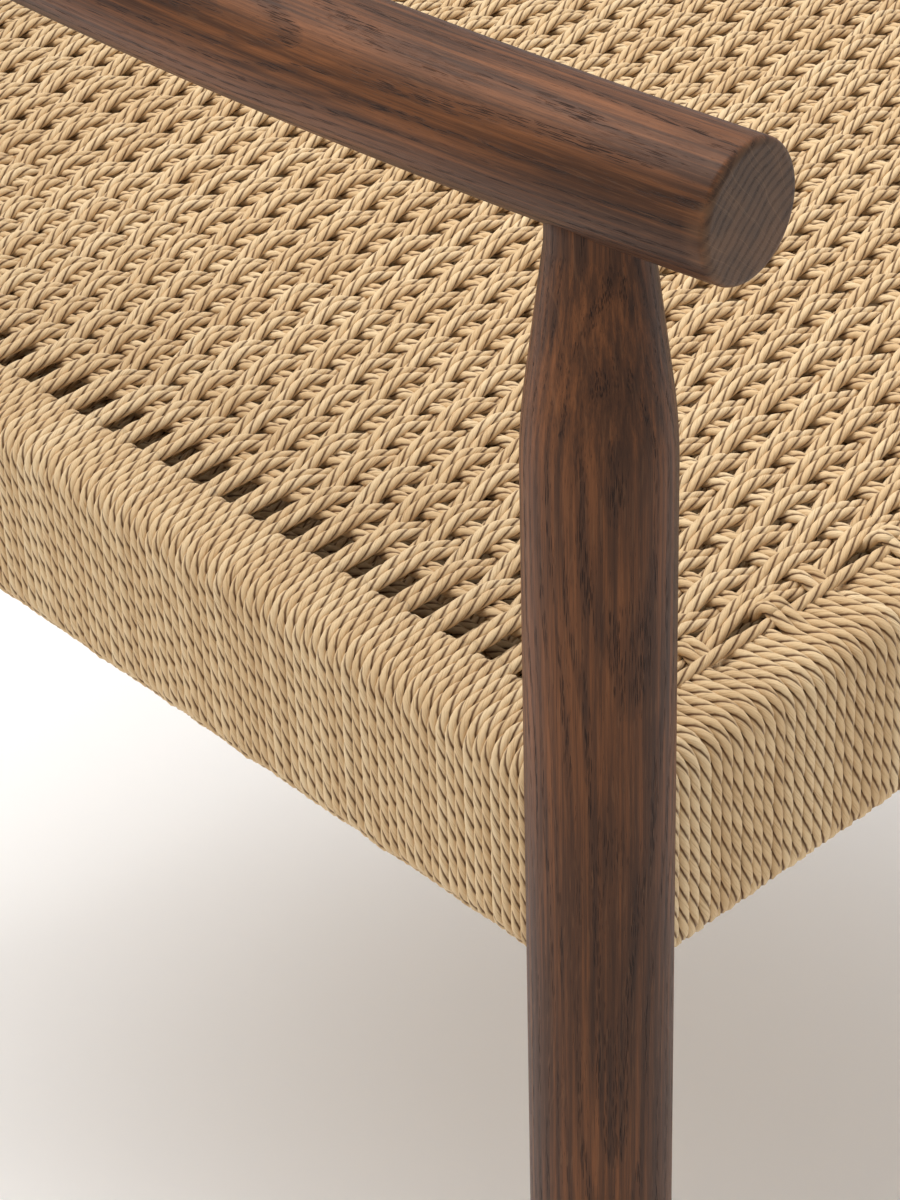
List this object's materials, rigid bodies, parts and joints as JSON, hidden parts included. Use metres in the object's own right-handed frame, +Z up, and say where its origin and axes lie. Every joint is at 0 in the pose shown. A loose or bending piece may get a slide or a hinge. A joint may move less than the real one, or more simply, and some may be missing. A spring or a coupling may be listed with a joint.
{
  "type": "armchair",
  "caption": "Low lounge armchair with a turned smoked-oak frame, round curved arms, a slatted raked back and a woven paper-cord seat.",
  "frame": {"origin": "on the floor, at the middle of the chair's width and depth", "axes": "+Z up, -Y the way the sitter faces, -X the sitter's right"},
  "size_m": [0.656, 0.7169, 0.7788],
  "materials": {
    "oak": "smoked oak, satin oil",
    "beech": "plain, glued",
    "cord": "unbleached twisted paper, matte",
    "steel": "bright nail wire",
    "nylon": "matte"
  },
  "bodies": {
    "root": {"front_leg_right": "oak", "front_leg_left": "oak", "rear_leg_right": "oak", "rear_leg_left": "oak", "front_rail": "oak", "rear_rail": "oak", "side_rail_right": "oak", "side_rail_left": "oak", "arm_right": "oak", "arm_left": "oak", "lower_back_slat": "oak", "middle_back_slat": "oak", "crest_slat": "oak", "front_rail_dowels": "beech", "rear_rail_dowels": "beech", "side_rail_dowels_right": "beech", "side_rail_dowels_left": "beech", "arm_dowels": "beech", "front_rail_wraps": "cord", "rear_rail_wraps": "cord", "side_rail_wraps_right": "cord", "side_rail_wraps_left": "cord", "seat_warp_cords": "cord", "seat_weft_cords": "cord", "lower_warp_cords": "cord", "lower_weft_cords": "cord", "leg_glides": "nylon", "glide_nails": "steel"}
  },
  "joints": []
}
